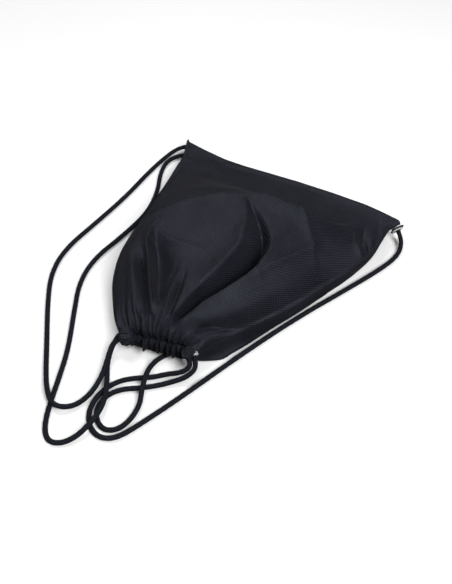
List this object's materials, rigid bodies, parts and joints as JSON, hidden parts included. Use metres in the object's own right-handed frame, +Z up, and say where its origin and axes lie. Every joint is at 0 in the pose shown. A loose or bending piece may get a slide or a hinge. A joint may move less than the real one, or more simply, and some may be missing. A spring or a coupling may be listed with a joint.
{
  "type": "drawstring backpack",
  "caption": "Drawstring backpack lying on its back: woven nylon sack with a puffed front, a cinched mouth with a gathered hem, and braided cords from the mouth to tabs at the bottom corners.",
  "frame": {"origin": "on the surface that the bag lies on, under the middle of the back panel", "axes": "+Z up, through the bag's thickness; +Y towards the bottom seam, away from the mouth; +X along the bottom seam"},
  "size_m": [0.3768, 0.4887, 0.093],
  "materials": {
    "nylon": "fine ribbed woven nylon, near-black navy, slight sheen",
    "webbing": "flat woven webbing, black",
    "cord": "round braided cord, navy-black, matt",
    "nickel": "nickel-plated pressed steel, satin"
  },
  "bodies": {
    "root": {"back_hem_channel": "nylon", "back_panel": "nylon", "bottom_seam": "nylon", "front_hem_channel": "nylon", "front_panel": "nylon", "left_cord_hem_run": "cord", "left_cord_knot": "cord", "left_cord_lower_strand": "cord", "left_cord_upper_strand": "cord", "left_corner_tab": "webbing", "left_mouth_eyelet": "nickel", "left_mouth_patch": "nylon", "left_mouth_washer": "nickel", "left_side_seam": "nylon", "left_tab_eyelet": "nickel", "left_tab_washer": "nickel", "right_cord_hem_run": "cord", "right_cord_knot": "cord", "right_cord_lower_strand": "cord", "right_cord_upper_strand": "cord", "right_corner_tab": "webbing", "right_mouth_eyelet": "nickel", "right_mouth_patch": "nylon", "right_mouth_washer": "nickel", "right_side_seam": "nylon", "right_tab_eyelet": "nickel", "right_tab_washer": "nickel"}
  },
  "joints": []
}
